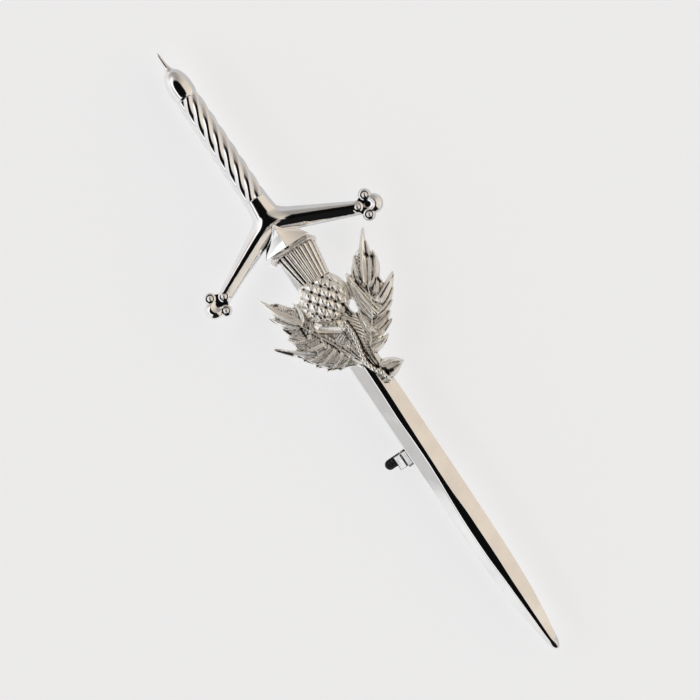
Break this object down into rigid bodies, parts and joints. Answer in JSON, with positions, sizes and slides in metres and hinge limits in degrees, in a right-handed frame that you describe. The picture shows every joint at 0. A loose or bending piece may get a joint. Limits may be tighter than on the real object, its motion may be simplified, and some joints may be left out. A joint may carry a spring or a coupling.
{
  "type": "kilt pin",
  "caption": "Sword-shaped kilt pin with a sloped crossguard, a twisted grip, a cast thistle on the blade, and a pin with a turning safety catch behind it.",
  "frame": {"origin": "on the table, under the middle of the whole pin's box, as it lies on its back", "axes": "+Z out of the front, +Y along the sword towards its pommel, +X to the right of the front"},
  "size_m": [0.0318, 0.1076, 0.0084],
  "materials": {
    "polished_chrome": "mirror polish",
    "antiqued_chrome": "cast relief, dark in its hollows",
    "pin_steel": "bright drawn steel",
    "lever_steel": "pressed steel, smooth"
  },
  "bodies": {
    "sword": {"blade": "polished_chrome", "crossguard": "polished_chrome", "grip": "polished_chrome", "pommel": "polished_chrome", "thistle": "antiqued_chrome", "pin": "pin_steel", "catch": "pin_steel"},
    "lever": {"catch_lever": "lever_steel"}
  },
  "joints": [
    {"name": "lever_turn", "type": "hinge", "parent": "sword", "child": "lever", "pos_m": [-0.00195, -0.0175, 0.00155], "axis": [0, -1, 0], "range_deg": [0, 70]}
  ]
}
